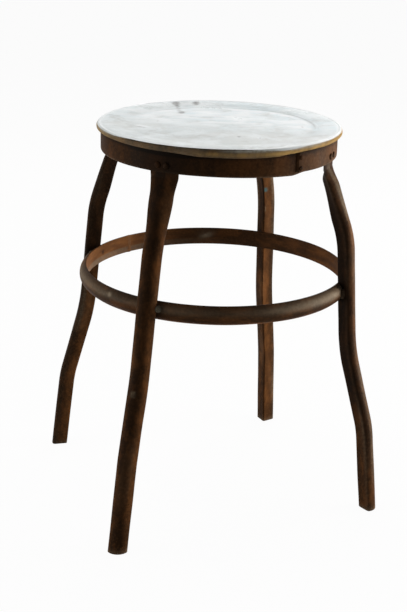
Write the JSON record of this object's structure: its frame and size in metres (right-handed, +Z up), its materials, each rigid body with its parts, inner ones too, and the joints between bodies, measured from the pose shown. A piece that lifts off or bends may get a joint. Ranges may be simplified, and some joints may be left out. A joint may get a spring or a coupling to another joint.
{
  "type": "metal stool",
  "caption": "Old industrial stool: a round sheet-metal seat on a riveted strip apron, with bent sheet legs let into and welded to a round foot ring.",
  "frame": {"origin": "on the floor, at the middle of the overall box, which is the middle of the feet's stance", "axes": "+Z up; X and Y level, with the legs near the diagonals; the picture looks from -Y and a little from -X"},
  "size_m": [0.4196, 0.399, 0.554],
  "materials": {
    "seat_sheet": "worn satin",
    "rusted_steel": "rusted, dull",
    "bare_steel": "dull"
  },
  "bodies": {
    "root": {"seat_pan": "seat_sheet", "rim_wire": "bare_steel", "apron_band": "rusted_steel", "lap_rivets": "rusted_steel", "seat_tacks": "bare_steel", "foot_ring": "rusted_steel", "ring_joint_weld": "rusted_steel", "leg_front_left": "rusted_steel", "leg_front_right": "rusted_steel", "leg_back_right": "rusted_steel", "leg_back_left": "rusted_steel", "leg_rivets_front_left": "rusted_steel", "leg_rivets_front_right": "rusted_steel", "leg_rivets_back_right": "rusted_steel", "leg_rivets_back_left": "rusted_steel", "ring_welds_front_left": "rusted_steel", "ring_welds_front_right": "rusted_steel", "ring_welds_back_right": "rusted_steel", "ring_welds_back_left": "rusted_steel"}
  },
  "joints": []
}
